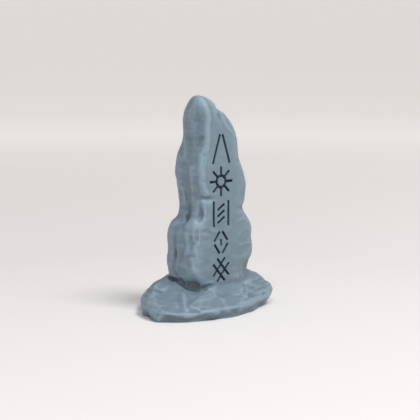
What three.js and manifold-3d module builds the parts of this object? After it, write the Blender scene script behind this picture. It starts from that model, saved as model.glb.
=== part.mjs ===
// A printed plastic runestone: a tall rough stone rising out of a low rock mound, made in one piece.
// Five signs made of straight strokes are cut down its flat front.
// Millimetres, +Z up. The origin is the middle of the underside, and the cut front faces -Y.

import * as THREE from "three";
import { mergeVertices } from "three/addons/utils/BufferGeometryUtils.js";
import Module from "manifold-3d";

// Driving dimensions
const TOTAL_HEIGHT = 150;
const STONE_WIDTH = 52;
const STONE_THICKNESS = 29;
const STONE_SET_X = 3;
const STONE_SET_Y = -1.5;
const MOUND_LENGTH = 105;
const MOUND_DEPTH = 73;
const MOUND_HEIGHT = 25;
const STONE_FOOT = 0.4 * MOUND_HEIGHT;
const STROKE_WIDTH = 1.9;
const STROKE_DEPTH = 2.4;
const SIGN_SIZE = 7;
const SIGN_COLUMN_X = 1.4;

// Roughness of the rock: how far its facets stand in or out, and how long they are in x, y and z.
const STONE_ROUGHNESS = 1.5;
const STONE_GRAIN = new THREE.Vector3(13, 13, 21);
const PANEL_SMOOTHNESS = 0.94;
const PANEL_EASE = 18;
const MOUND_ROUGHNESS = 1.4;
const MOUND_GRAIN = new THREE.Vector3(15, 13, 9);
const FACET_BLEND = 12;
const FACET_STEP = 0.9;

// Mesh fineness: points round and up each shape, and how far the finished surface may leave them.
const STONE_SECTORS = 110;
const STONE_LEVELS = 96;
const MOUND_SECTORS = 170;
const MOUND_RINGS = 66;
const RING_SIDES = 32;
const SURFACE_TOLERANCE = 0.2;

// What the shares below are shares of.
const STONE_SIZE = new THREE.Vector3(STONE_WIDTH, STONE_THICKNESS, TOTAL_HEIGHT);
const MOUND_SIZE = new THREE.Vector3(MOUND_LENGTH / 2, MOUND_DEPTH / 2, MOUND_HEIGHT);

const PLASTIC = { color: 0x8496a2, roughness: 0.6, metalness: 0 };

const radians = THREE.MathUtils.degToRad;
const degrees = THREE.MathUtils.radToDeg;
const clamp = THREE.MathUtils.clamp;

// The stone's sides. Each is the outline seen along that side: how far the side stands out from the
// middle of the stone, as a share of its width or thickness, at heights that are shares of the total.
const STONE_SIDES = [
  { name: "front", facing: -90, size: STONE_THICKNESS, outline: [[0, 0.5], [0.9, 0.5], [1, 0.46]] },
  {
    name: "panel shoulder", facing: -68, size: STONE_WIDTH,
    outline: [
      [0, 0.4], [0.24, 0.43], [0.38, 0.43], [0.47, 0.37], [0.6, 0.385], [0.72, 0.355],
      [0.79, 0.34], [0.84, 0.305], [0.89, 0.268], [0.94, 0.23],
    ],
  },
  {
    name: "right front", facing: -40, size: STONE_WIDTH,
    outline: [
      [0, 0.49], [0.19, 0.55], [0.22, 0.555], [0.25, 0.61], [0.28, 0.617], [0.31, 0.595],
      [0.38, 0.59], [0.41, 0.56], [0.45, 0.46], [0.47, 0.445], [0.53, 0.485], [0.58, 0.502],
      [0.63, 0.475], [0.7, 0.385], [0.8, 0.38], [0.83, 0.355], [0.89, 0.262], [0.925, 0.175],
      [0.935, 0.1], [1, 0.1],
    ],
  },
  {
    name: "right", facing: 0, size: STONE_WIDTH,
    outline: [
      [0, 0.55], [0.24, 0.63], [0.37, 0.615], [0.43, 0.52], [0.47, 0.47], [0.57, 0.52],
      [0.64, 0.47], [0.71, 0.365], [0.8, 0.335], [0.87, 0.24], [0.925, 0.12], [0.94, -0.04],
    ],
  },
  {
    name: "right back", facing: 48, size: STONE_WIDTH,
    outline: [
      [0, 0.48], [0.3, 0.5], [0.43, 0.42], [0.56, 0.46], [0.7, 0.36], [0.84, 0.24], [0.92, 0.07],
      [0.95, -0.04],
    ],
  },
  {
    name: "back", facing: 90, size: STONE_THICKNESS,
    outline: [
      [0, 0.54], [0.3, 0.6], [0.42, 0.52], [0.58, 0.6], [0.72, 0.54], [0.82, 0.42], [0.9, 0.26],
      [0.95, 0.16],
    ],
  },
  {
    name: "left back", facing: 140, size: STONE_WIDTH,
    outline: [
      [0, 0.53], [0.17, 0.56], [0.24, 0.588], [0.29, 0.565], [0.34, 0.575], [0.38, 0.565],
      [0.41, 0.528], [0.435, 0.455], [0.46, 0.43], [0.49, 0.42], [0.55, 0.43], [0.63, 0.469],
      [0.67, 0.46], [0.73, 0.425], [0.785, 0.352], [0.81, 0.34], [0.89, 0.342], [0.94, 0.324],
    ],
  },
  {
    name: "left", facing: 180, size: STONE_WIDTH,
    outline: [
      [0, 0.46], [0.13, 0.48], [0.17, 0.53], [0.22, 0.555], [0.27, 0.53], [0.32, 0.55],
      [0.37, 0.545], [0.415, 0.49], [0.44, 0.41], [0.48, 0.375], [0.54, 0.372], [0.6, 0.4],
      [0.66, 0.418], [0.71, 0.4], [0.76, 0.36], [0.8, 0.345], [0.93, 0.35],
    ],
  },
  {
    name: "left front", facing: -165, size: STONE_WIDTH,
    outline: [
      [0, 0.62], [0.42, 0.6], [0.455, 0.43], [0.49, 0.415], [0.547, 0.388], [0.589, 0.41],
      [0.657, 0.436], [0.717, 0.436], [0.748, 0.42], [0.777, 0.37], [0.837, 0.36],
      [0.883, 0.352], [0.919, 0.37], [1, 0.37],
    ],
  },
  {
    name: "lit ridge", facing: -135, size: STONE_WIDTH,
    outline: [
      [0, 0.44], [0.12, 0.45], [0.15, 0.475], [0.2, 0.525], [0.3, 0.5], [0.34, 0.475],
      [0.4, 0.475], [0.43, 0.44], [0.455, 0.415], [0.5, 0.42], [0.527, 0.437], [0.545, 0.405],
      [0.59, 0.425], [0.65, 0.445], [0.7, 0.43], [0.74, 0.4], [0.78, 0.388], [0.94, 0.378],
    ],
  },
];
// The line that the stone's sections are measured from leans towards the summit: height, x, y in shares.
const STONE_SPINE = [
  [0, 0.03, 0], [0.55, 0.03, 0], [0.82, -0.1, -0.07], [0.93, -0.24, -0.14], [1, -0.28, -0.16],
];
const STONE_EDGE_SHARPNESS = 18;
const OUTLINE_SOFTNESS = 0.01;
// The summit is a rounded knob over this share of the height, and no side comes nearer the spine than this.
const KNOB_START = 0.915;
const LEAST_REACH = 0.3;
// Hollows in the stone: middle and half sizes as shares of its width, thickness and the total height, and
// how deep each goes. The middle is measured from the middle of the stone's foot.
const STONE_HOLLOWS = [
  { name: "scoop behind the ridge", at: [-0.337, -0.328, 0.827], reach: [0.096, 0.155, 0.1], depth: 1.2 },
  { name: "pit by the ridge", at: [-0.365, -0.397, 0.807], reach: [0.058, 0.103, 0.02], depth: 1.3 },
  { name: "valley down the left", at: [-0.423, 0.017, 0.447], reach: [0.096, 0.155, 0.107], depth: 2.6 },
  { name: "crease low on the left", at: [-0.538, 0.155, 0.287], reach: [0.096, 0.097, 0.073], depth: 1.2 },
  { name: "ledge crack", at: [-0.308, -0.5, 0.537], reach: [0.115, 0.138, 0.012], depth: 1.6 },
  { name: "chamfer hollow", at: [-0.442, -0.397, 0.443], reach: [0.096, 0.138, 0.024], depth: 1.6 },
  { name: "left foot", at: [-0.538, -0.397, 0.13], reach: [0.154, 0.241, 0.02], depth: 2 },
  { name: "right foot notch", at: [0.481, -0.397, 0.18], reach: [0.135, 0.207, 0.053], depth: 4.6 },
  { name: "shoulder crease", at: [-0.019, -0.431, 0.913], reach: [0.067, 0.276, 0.024], depth: 1.6 },
  { name: "valley down the right", at: [0.5, 0.12, 0.54], reach: [0.13, 0.16, 0.1], depth: 2.6 },
  { name: "ledge low on the right", at: [0.6, 0.16, 0.335], reach: [0.16, 0.42, 0.013], depth: 2 },
  { name: "cleft by the right shoulder", at: [0.34, 0.2, 0.77], reach: [0.12, 0.13, 0.08], depth: 2.4 },
  { name: "cleft down the back", at: [0.13, 0.58, 0.4], reach: [0.07, 0.2, 0.13], depth: 2.4 },
  { name: "ledge across the back", at: [-0.12, 0.58, 0.61], reach: [0.26, 0.22, 0.013], depth: 2 },
  { name: "hollow low on the back", at: [-0.27, 0.5, 0.24], reach: [0.1, 0.2, 0.07], depth: 2.2 },
];
// The same in the mound, as shares of its half length, half depth and height.
const MOUND_HOLLOWS = [
  { name: "slot in the slope", at: [0.419, -0.712, 0.42], reach: [0.114, 0.137, 0.072], depth: 1.8 },
  { name: "front rim hollow", at: [-0.286, -1.014, 0.2], reach: [0.076, 0.11, 0.24], depth: 1.4 },
];

// The mound is a soft block of flat facets. Each faces a way round it and is tilted up from level, in
// degrees, and goes through a point given as shares of the mound's half length, half depth and height.
const MOUND_CORE_HEIGHT = 0.24 * MOUND_HEIGHT;
const MOUND_EDGE_SHARPNESS = 40;
const MOUND_FACETS = [
  { name: "left rim", facing: 167, tilt: 3, through: [-1.035, -0.22, 0.12] },
  { name: "left front rim", facing: -132, tilt: -6, through: [-0.885, -0.72, 0.12] },
  { name: "front left rim", facing: -108, tilt: -8, through: [-0.54, -0.98, 0.1] },
  { name: "front rim", facing: -90, tilt: 4, through: [-0.2, -1.035, 0.1] },
  { name: "front right rim", facing: -70, tilt: 6, through: [0.2, -0.935, 0.12] },
  { name: "right front rim", facing: -60, tilt: -8, through: [0.8, -0.53, 0.1] },
  { name: "right end", facing: -20, tilt: 6, through: [1.02, -0.24, 0.3] },
  { name: "right end foot", facing: -28, tilt: -16, through: [0.955, -0.28, 0.06] },
  { name: "right back rim", facing: 45, tilt: 4, through: [0.7, 0.66, 0.12] },
  { name: "back rim", facing: 92, tilt: 3, through: [0, 0.98, 0.12] },
  { name: "left back rim", facing: 140, tilt: 8, through: [-0.67, 0.81, 0.12] },
  { name: "left back slope", facing: 146, tilt: 34, through: [-0.64, 0.78, 0.31] },
  { name: "left back top", facing: 138, tilt: 50, through: [-0.57, 0.69, 0.6] },
  { name: "left back crown", facing: 134, tilt: 62, through: [-0.43, 0.53, 0.84] },
  { name: "left end slope", facing: -176, tilt: 40, through: [-0.97, -0.15, 0.42] },
  { name: "left front top", facing: -150, tilt: 68, through: [-0.476, -0.164, 0.79] },
  { name: "lit facet", facing: -118, tilt: 60, through: [-0.42, -0.41, 0.745] },
  { name: "front slope", facing: -92, tilt: 62, through: [0, -0.93, 0.37] },
  { name: "front right slope", facing: -66, tilt: 42, through: [0.686, -0.38, 0.65] },
  { name: "right crest", facing: -15, tilt: 54, through: [0.975, -0.25, 0.63] },
  { name: "right back top", facing: 40, tilt: 54, through: [0.64, 0.64, 0.6] },
  { name: "back slope", facing: 84, tilt: 52, through: [0.1, 0.85, 0.5] },
  { name: "crown", facing: 0, tilt: 90, through: [0, 0, 1.02] },
  { name: "under", facing: 0, tilt: -90, through: [0, 0, -0.3] },
];

// The signs, from the top down: each is a group of straight strokes, [x, z, x, z] from end to end in the
// sign's own frame, as shares of how wide and tall it is. Wide and tall are shares of SIGN_SIZE, from the
// sign's middle to its edge. One sign has a ring as well.
const RAY_COUNT = 8;
const RAY_START = 0.4;
const RING_RADIUS = 0.585 * SIGN_SIZE;
const TICK_COUNT = 3;
const TICK_SPACING = 0.56;
const TICK_REACH = 0.36;
const TICK_RISE = 0.2;
const SIGNS = [
  {
    name: "leaning pair", height: 0.756, wide: 1.06, tall: 1.31,
    strokes: [[-0.95, -1, -0.17, 1], [1, -1, 0.2, 1]],
  },
  { name: "rayed ring", height: 0.607, wide: 1.34, tall: 1.34, ring: RING_RADIUS, strokes: rays() },
  {
    name: "posts and ticks", height: 0.459, wide: 0.94, tall: 1.14,
    strokes: [[-1, -1, -1, 1], [1, -1, 1, 1], ...ticks()],
  },
  {
    name: "open lozenge", height: 0.325, wide: 0.885, tall: 1,
    strokes: [
      [-0.9, 0.24, -0.28, 1], [0.28, 1, 0.9, 0.24], [-0.9, -0.24, -0.28, -1], [0.9, -0.24, 0.28, -1],
      [0, -0.2, 0, 0.2],
    ],
  },
  {
    name: "crossed pairs", height: 0.198, wide: 0.94, tall: 1.06,
    strokes: [[-1, -0.5, 0.45, 1], [-0.45, -1, 1, 0.5], [-1, 0.5, 0.45, -1], [-0.45, 1, 1, -0.5]],
  },
];

// The rays round the ring.
function rays() {
  return Array.from({ length: RAY_COUNT }, (_, i) => {
    const a = (i / RAY_COUNT) * 2 * Math.PI;
    return [RAY_START * Math.cos(a), RAY_START * Math.sin(a), Math.cos(a), Math.sin(a)];
  });
}

// The slanting ticks between the posts.
function ticks() {
  return Array.from({ length: TICK_COUNT }, (_, i) => {
    const middle = (i - (TICK_COUNT - 1) / 2) * TICK_SPACING;
    return [-TICK_REACH, middle - TICK_RISE, TICK_REACH, middle + TICK_RISE];
  });
}

// The value at t of the straight line through points [t, value, ...].
function along(points, t, column) {
  const last = points.length - 1;
  if (t <= points[0][0]) return points[0][column];
  if (t >= points[last][0]) return points[last][column];
  const i = points.findIndex((p) => p[0] > t);
  const [a, b] = [points[i - 1], points[i]];
  return a[column] + ((b[column] - a[column]) * (t - a[0])) / (b[0] - a[0]);
}

// The same line with its corners eased.
function eased(points, t, column = 1) {
  let sum = 0;
  for (const step of [-1, -0.5, 0, 0.5, 1]) sum += along(points, t + step * OUTLINE_SOFTNESS, column);
  return sum / 5;
}

// A unit vector that faces a way round the vertical and is tilted up from level, in degrees.
function facingWay(facing, tilt = 0) {
  const level = Math.cos(radians(tilt));
  const [x, y] = [Math.cos(radians(facing)), Math.sin(radians(facing))];
  return new THREE.Vector3(level * x, level * y, Math.sin(radians(tilt)));
}

// A repeatable number from 0 to 1 for a cell of the rock's grain.
function grainNumber(i, j, k, channel) {
  const s = Math.sin(i * 12.9898 + j * 78.233 + k * 37.719 + channel * 19.19) * 4375.8545;
  return s - Math.floor(s);
}

// Flat soft-edged facets in space: each cell of the grain has its own tilted plane, and they are blended.
function facetField(point, grain, channel) {
  const p = point.clone().divide(grain);
  const home = p.clone().floor();
  let weights = 0;
  let total = 0;
  for (let i = home.x - 1; i <= home.x + 1; i++)
    for (let j = home.y - 1; j <= home.y + 1; j++)
      for (let k = home.z - 1; k <= home.z + 1; k++) {
        const number = (n) => grainNumber(i, j, k, channel + n);
        const off = p.clone().sub(new THREE.Vector3(i + number(0), j + number(1), k + number(2)));
        const slope = new THREE.Vector3(number(3) - 0.5, number(4) - 0.5, number(5) - 0.5);
        const weight = Math.exp(-FACET_BLEND * off.lengthSq());
        weights += weight;
        total += weight * (2 * slope.dot(off) + FACET_STEP * (number(6) - 0.5));
      }
  return total / weights;
}

// How deep the hollows go at a point, which is given in the same shares as they are.
function hollowDepth(point, hollows) {
  let total = 0;
  for (const { at, reach, depth } of hollows) {
    const off = point.clone().sub(new THREE.Vector3(...at)).divide(new THREE.Vector3(...reach));
    total += depth * Math.exp(-off.lengthSq());
  }
  return total;
}

// How far the soft polygon of sides reaches along a direction. A side is a unit vector and a reach.
function softReach(direction, sides, sharpness) {
  let sum = 0;
  for (const { facing, reach } of sides) sum += (Math.max(0, facing.dot(direction)) / reach) ** sharpness;
  return sum ** (-1 / sharpness);
}

// The angles that divide a full turn equally, in degrees.
function turns(count) {
  return Array.from({ length: count }, (_, i) => (i / count) * 360);
}

// A closed skin from rings of points and a point at each end, wound to face out.
function skin(bottom, rings, top) {
  const sectors = rings[0].length;
  const points = [bottom, ...rings.flat(), top];
  const faces = [];
  const at = (r, s) => 1 + r * sectors + (s % sectors);
  for (let s = 0; s < sectors; s++) {
    faces.push(0, at(0, s + 1), at(0, s));
    for (let r = 0; r + 1 < rings.length; r++)
      faces.push(at(r, s), at(r, s + 1), at(r + 1, s + 1), at(r, s), at(r + 1, s + 1), at(r + 1, s));
    faces.push(at(rings.length - 1, s), at(rings.length - 1, s + 1), points.length - 1);
  }
  return new THREE.BufferGeometry().setFromPoints(points).setIndex(faces);
}

// The stone's sides at a height, measured from the spine.
function stoneSection(height) {
  const share = height / TOTAL_HEIGHT;
  const lean = [eased(STONE_SPINE, share, 1) * STONE_WIDTH, eased(STONE_SPINE, share, 2) * STONE_THICKNESS];
  const spine = new THREE.Vector3(...lean, 0);
  const up = clamp((share - KNOB_START) / (1 - KNOB_START), 0, 1);
  const crown = Math.sqrt(1 - up * up);
  const sides = STONE_SIDES.map(({ facing, size, outline }) => {
    const across = facingWay(facing);
    const reach = crown * (eased(outline, share) * size - across.dot(spine));
    return { facing: across, reach: Math.max(reach, LEAST_REACH) };
  });
  return { spine, sides };
}

// How rough the stone is at a point: little on the flat front.
function stoneRoughness(point) {
  const behindFront = clamp((point.y + STONE_THICKNESS / 2) / PANEL_EASE, 0, 1);
  return STONE_ROUGHNESS * (1 - PANEL_SMOOTHNESS * (1 - behindFront));
}

function stonePoint(height, turn) {
  const { spine, sides } = stoneSection(height);
  const direction = facingWay(turn);
  const reach = softReach(direction, sides, STONE_EDGE_SHARPNESS);
  const place = direction.clone().multiplyScalar(reach).add(spine);
  place.z = height;
  const hollow = hollowDepth(place.clone().divide(STONE_SIZE), STONE_HOLLOWS);
  place.addScaledVector(direction, stoneRoughness(place) * facetField(place, STONE_GRAIN, 0) - hollow);
  return place.add(new THREE.Vector3(STONE_SET_X, STONE_SET_Y, 0));
}

function stoneShape() {
  const rings = [];
  for (let level = 0; level < STONE_LEVELS; level++) {
    const rise = Math.sin(((level + 0.5) / STONE_LEVELS) * (Math.PI / 2)) ** 0.9;
    const height = STONE_FOOT + (TOTAL_HEIGHT - STONE_FOOT) * rise;
    rings.push(turns(STONE_SECTORS).map((turn) => stonePoint(height, turn)));
  }
  const summit = stoneSection(TOTAL_HEIGHT).spine;
  const top = new THREE.Vector3(summit.x + STONE_SET_X, summit.y + STONE_SET_Y, TOTAL_HEIGHT);
  return skin(new THREE.Vector3(STONE_SET_X, STONE_SET_Y, STONE_FOOT), rings, top);
}

function moundShape() {
  const core = new THREE.Vector3(0, 0, MOUND_CORE_HEIGHT);
  const sides = MOUND_FACETS.map(({ facing, tilt, through }) => {
    const normal = facingWay(facing, tilt);
    const place = new THREE.Vector3(...through).multiply(MOUND_SIZE);
    return { facing: normal, reach: place.sub(core).dot(normal) };
  });
  const point = (turn, rise) => {
    const direction = facingWay(turn, rise);
    const reach = softReach(direction, sides, MOUND_EDGE_SHARPNESS);
    const place = direction.clone().multiplyScalar(reach).add(core);
    const hollow = hollowDepth(place.clone().divide(MOUND_SIZE), MOUND_HOLLOWS);
    return place.addScaledVector(direction, MOUND_ROUGHNESS * facetField(place, MOUND_GRAIN, 20) - hollow);
  };
  const rings = [];
  for (let ring = 1; ring < MOUND_RINGS; ring++) {
    const rise = degrees(Math.atan(Math.tan((ring / MOUND_RINGS - 0.5) * Math.PI) * 0.35));
    rings.push(turns(MOUND_SECTORS).map((turn) => point(turn, rise)));
  }
  return skin(point(0, -90), rings, point(0, 90));
}

// One stroke's cutter: a bar that stands across the front face.
function strokeShape(x0, z0, x1, z1, frontY) {
  const length = Math.hypot(x1 - x0, z1 - z0) + STROKE_WIDTH;
  const bar = new THREE.BoxGeometry(length, 2 * STROKE_DEPTH, STROKE_WIDTH);
  bar.rotateY(-Math.atan2(z1 - z0, x1 - x0));
  return bar.translate((x0 + x1) / 2, frontY, (z0 + z1) / 2);
}

// The ring's cutter: a short tube that stands across the front face.
function ringShape(x, z, radius, frontY) {
  const disc = new THREE.Shape().absarc(0, 0, radius + STROKE_WIDTH / 2, 0, 2 * Math.PI);
  disc.holes.push(new THREE.Path().absarc(0, 0, radius - STROKE_WIDTH / 2, 0, 2 * Math.PI));
  const depth = 2 * STROKE_DEPTH;
  const tube = new THREE.ExtrudeGeometry(disc, { depth, bevelEnabled: false, curveSegments: RING_SIDES });
  return tube.rotateX(Math.PI / 2).translate(x, frontY + STROKE_DEPTH, z);
}

const wasm = await Module();
wasm.setup();

// A closed shape as a solid that can be joined and cut.
function solid(geometry) {
  const bare = geometry.clone();
  bare.deleteAttribute("normal");
  bare.deleteAttribute("uv");
  const merged = mergeVertices(bare);
  const vertProperties = merged.attributes.position.array;
  const triVerts = new Uint32Array(merged.index.array);
  return new wasm.Manifold(new wasm.Mesh({ numProp: 3, vertProperties, triVerts }));
}

// A solid's surface for drawing.
function surface(made) {
  const { vertProperties, numProp, numVert, triVerts } = made.getMesh();
  const positions = new Float32Array(numVert * 3);
  for (let i = 0; i < numVert; i++)
    positions.set(vertProperties.subarray(i * numProp, i * numProp + 3), i * 3);
  const geometry = new THREE.BufferGeometry();
  geometry.setAttribute("position", new THREE.BufferAttribute(positions, 3));
  geometry.setIndex(new THREE.BufferAttribute(triVerts, 1));
  geometry.computeVertexNormals();
  return geometry;
}

// The rock before the signs are cut: stone and mound joined, flat underneath, with its middle at x = y = 0.
function rock() {
  const ground = new THREE.BoxGeometry(4 * MOUND_LENGTH, 4 * MOUND_DEPTH, TOTAL_HEIGHT);
  ground.translate(0, 0, -TOTAL_HEIGHT / 2);
  const joined = solid(stoneShape()).add(solid(moundShape()));
  return joined.subtract(solid(ground)).simplify(SURFACE_TOLERANCE);
}

function cutSigns(body) {
  const frontY = STONE_SET_Y - STONE_THICKNESS / 2;
  let cut = body;
  for (const { height, wide, tall, ring, strokes } of SIGNS) {
    const middle = height * TOTAL_HEIGHT;
    if (ring) cut = cut.subtract(solid(ringShape(SIGN_COLUMN_X, middle, ring, frontY)));
    for (const [x0, z0, x1, z1] of strokes) {
      const [left, right] = [x0, x1].map((x) => SIGN_COLUMN_X + x * wide * SIGN_SIZE);
      const [low, high] = [z0, z1].map((z) => middle + z * tall * SIGN_SIZE);
      cut = cut.subtract(solid(strokeShape(left, low, right, high, frontY)));
    }
  }
  return cut;
}

function runestone() {
  const body = cutSigns(rock());
  const { min, max } = body.boundingBox();
  const centred = body.translate([-(min[0] + max[0]) / 2, -(min[1] + max[1]) / 2, 0]);
  const mesh = new THREE.Mesh(surface(centred), new THREE.MeshStandardMaterial(PLASTIC));
  mesh.name = "runestone";
  return mesh;
}

const model = new THREE.Group();
model.add(runestone());

export default model;
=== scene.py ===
"""A printed plastic runestone on its rock mound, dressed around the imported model.

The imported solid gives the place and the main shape. This script builds the same shape again from the same
outlines and facets, finer, with the small relief of the rock, and gives it its plastic, floor and light.
Shapes are worked out in millimetres in the shape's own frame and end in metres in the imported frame.
"""

import sys

import logging
import math
from collections.abc import Callable, Iterator
from dataclasses import dataclass, field
from enum import Enum

import bpy
import numpy as np
from mathutils import Matrix, Vector, kdtree


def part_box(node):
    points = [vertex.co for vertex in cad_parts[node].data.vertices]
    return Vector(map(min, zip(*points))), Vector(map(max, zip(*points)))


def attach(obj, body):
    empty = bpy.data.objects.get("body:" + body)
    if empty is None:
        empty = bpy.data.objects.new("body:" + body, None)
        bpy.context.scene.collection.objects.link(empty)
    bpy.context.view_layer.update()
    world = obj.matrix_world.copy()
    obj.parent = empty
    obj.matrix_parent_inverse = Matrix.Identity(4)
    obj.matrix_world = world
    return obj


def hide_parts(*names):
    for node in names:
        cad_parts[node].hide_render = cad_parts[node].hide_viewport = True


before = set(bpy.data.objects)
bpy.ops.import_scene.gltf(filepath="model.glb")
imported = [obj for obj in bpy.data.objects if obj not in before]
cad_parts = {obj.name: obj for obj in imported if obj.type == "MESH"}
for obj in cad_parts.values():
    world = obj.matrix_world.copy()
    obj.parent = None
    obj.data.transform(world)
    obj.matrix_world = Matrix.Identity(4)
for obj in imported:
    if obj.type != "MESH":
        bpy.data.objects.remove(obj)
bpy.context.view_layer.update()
NODE = "runestone"
BODY = "root"
MM = 0.001
HASH_STEPS = (12.9898, 78.233, 37.719)
HASH_CHANNEL = 19.19
HASH_GAIN = 4375.8545
LOG = logging.getLogger("runestone")


class Cut(Enum):
    """How one closed mesh changes another."""

    JOIN = "UNION"
    REMOVE = "DIFFERENCE"
    KEEP = "INTERSECT"


class LightShape(Enum):
    """The kinds of studio lamp."""

    PANEL = "RECTANGLE"
    ROUND = "DISK"


@dataclass(frozen=True)
class Side:
    """One side of the stone: the outline seen along it, as shares of the stone's size over its height.

    Attributes:
        facing: The way it faces round the vertical, in degrees.
        size: What its reach is a share of, in mm.
        outline: Pairs of height share and reach share.
    """

    facing: float
    size: float
    outline: tuple[tuple[float, float], ...]


@dataclass(frozen=True)
class Facet:
    """One flat facet of the mound, through a point in shares of the mound's half sizes and height."""

    facing: float
    tilt: float
    through: tuple[float, float, float]


@dataclass(frozen=True)
class Hollow:
    """A soft hollow: its middle and half sizes in shares, and its depth in mm."""

    at: tuple[float, float, float]
    reach: tuple[float, float, float]
    depth: float


@dataclass(frozen=True)
class Crest:
    """A crisp low ridge along a line of points, in mm in the shape's own frame.

    Attributes:
        line: The points it runs through.
        width: How far its slopes reach to each side.
        height: How far its top stands out.
        power: How crisp its top is; 1 is a straight tent.
        span: How far from the line it is looked for, as a multiple of the width.
    """

    line: tuple[tuple[float, float, float], ...]
    width: float
    height: float
    power: float = 1.2
    span: float = 2.0

    def rise(self, points: np.ndarray, normals: np.ndarray) -> np.ndarray:
        """Works out how far the ridge lifts each point of a surface that it runs along.

        Args:
            points: The surface's points in mm, one a row.
            normals: The ways they face, one a row.

        Returns:
            One height in mm for each point.
        """
        nearest = np.full(len(points), self.width)
        for start, end in zip(np.array(self.line[:-1]), np.array(self.line[1:])):
            run = end - start
            along = np.clip(((points - start) @ run) / (run @ run), 0.0, 1.0)
            off = points - start - along[:, None] * run
            across = off - (off * normals).sum(axis=1)[:, None] * normals
            near = np.linalg.norm(off, axis=1) < self.span * self.width
            nearest = np.where(near, np.minimum(nearest, np.linalg.norm(across, axis=1)), nearest)
        return self.height * (1.0 - nearest / self.width) ** self.power


@dataclass(frozen=True)
class Surface:
    """What is read off a mesh, one row a point.

    Attributes:
        points: Where they are, in mm.
        normals: The ways they face.
        bends: How far each stands out of the surface round it, from about -1 to 1.
    """

    points: np.ndarray
    normals: np.ndarray
    bends: np.ndarray


@dataclass(frozen=True)
class Sign:
    """A sign of straight strokes.

    Attributes:
        height: How high its middle is, as a share of the stone's height.
        wide: Half its width, as a share of the signs' size.
        tall: Half its height, as a share of the signs' size.
        strokes: Each stroke's two ends as x, z, x, z, in shares of that half width and half height.
        ring: The radius of its ring in mm, or 0 for none.
    """

    height: float
    wide: float
    tall: float
    strokes: tuple[tuple[float, float, float, float], ...]
    ring: float = 0.0


def facing_way(facing: float, tilt: float = 0.0) -> np.ndarray:
    """Gives the unit vector that faces a way round the vertical and is tilted up from level.

    Args:
        facing: Degrees round the vertical from +X.
        tilt: Degrees up from level.

    Returns:
        The vector as an array of three.
    """
    turn, rise = math.radians(facing), math.radians(tilt)
    return np.array([math.cos(rise) * math.cos(turn), math.cos(rise) * math.sin(turn), math.sin(rise)])


def soft_reach(
    directions: np.ndarray, facings: np.ndarray, reaches: np.ndarray, sharpness: float
) -> np.ndarray:
    """Finds how far a soft block of flat sides reaches along each direction.

    Args:
        directions: Unit vectors, one a row.
        facings: The sides' unit vectors, one a row.
        reaches: Each side's distance from the core, in one row or one for each direction.
        sharpness: How sharp the edges between sides are.

    Returns:
        One distance for each direction.
    """
    shares = np.maximum(directions @ facings.T, 0.0) / reaches
    return (shares**sharpness).sum(axis=1) ** (-1.0 / sharpness)


def turns_of(count: int) -> np.ndarray:
    """Gives the angles of that many even steps round a full turn, in radians."""
    return np.arange(count) / count * 2.0 * math.pi


def hollow_depth(shares: np.ndarray, hollows: tuple[Hollow, ...]) -> np.ndarray:
    """Adds up how deep the hollows go at each point.

    Args:
        shares: Points in the same shares as the hollows, one a row.
        hollows: The hollows.

    Returns:
        One depth in mm for each point.
    """
    total = np.zeros(len(shares))
    for hollow in hollows:
        off = (shares - np.array(hollow.at)) / np.array(hollow.reach)
        total += hollow.depth * np.exp(-(off**2).sum(axis=1))
    return total


def ramp(value: np.ndarray, low: float, high: float) -> np.ndarray:
    """Turns a value into a soft step from 0 at low to 1 at high.

    Args:
        value: The values.
        low: Where the step starts.
        high: Where it ends.

    Returns:
        The steps.
    """
    t = np.clip((value - low) / (high - low), 0.0, 1.0)
    return t * t * (3.0 - 2.0 * t)


@dataclass(frozen=True)
class Grain:
    """Flat soft-edged facets in space, which make broken rock.

    Attributes:
        cell: How long a facet is in x, y and z, in mm.
        channel: Which facets these are; another number gives others.
        blend: How sharply one facet gives way to the next.
        step: How far facets stand apart where they are level.
    """

    cell: tuple[float, float, float]
    channel: int
    blend: float = 12.0
    step: float = 0.9

    def number(self, cells: np.ndarray, step: int) -> np.ndarray:
        """Gives a repeatable number from 0 to 1 for each cell."""
        mixed = sum(column * gain for column, gain in zip(cells.T, HASH_STEPS))
        wave = np.sin(mixed + (self.channel + step) * HASH_CHANNEL) * HASH_GAIN
        return wave - np.floor(wave)

    def planes(self, points: np.ndarray) -> Iterator[tuple[np.ndarray, np.ndarray]]:
        """Works out the tilted planes of the cells round each place.

        Args:
            points: Places in mm, one a row.

        Yields:
            For one cell near each place, the square of how far off its middle is and its plane's height.
        """
        p = points / np.array(self.cell)
        home = np.floor(p)
        for step in np.ndindex(3, 3, 3):
            cells = home + np.array(step) - 1.0
            draws = [self.number(cells, n) for n in range(7)]
            off = p - cells - np.stack(draws[:3], axis=1)
            tilts = np.stack(draws[3:6], axis=1) * 2.0 - 1.0
            yield (off**2).sum(axis=1), (tilts * off).sum(axis=1) + (draws[6] - 0.5) * self.step

    def height(self, points: np.ndarray) -> np.ndarray:
        """Works out how far the facets stand in or out.

        Args:
            points: Places in mm, one a row.

        Returns:
            A height for each place, of about -1 to 1.
        """
        weights = np.zeros(len(points))
        total = np.zeros(len(points))
        for away, plane in self.planes(points):
            weight = np.exp(-self.blend * away)
            weights += weight
            total += weight * plane
        return total / weights


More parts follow.
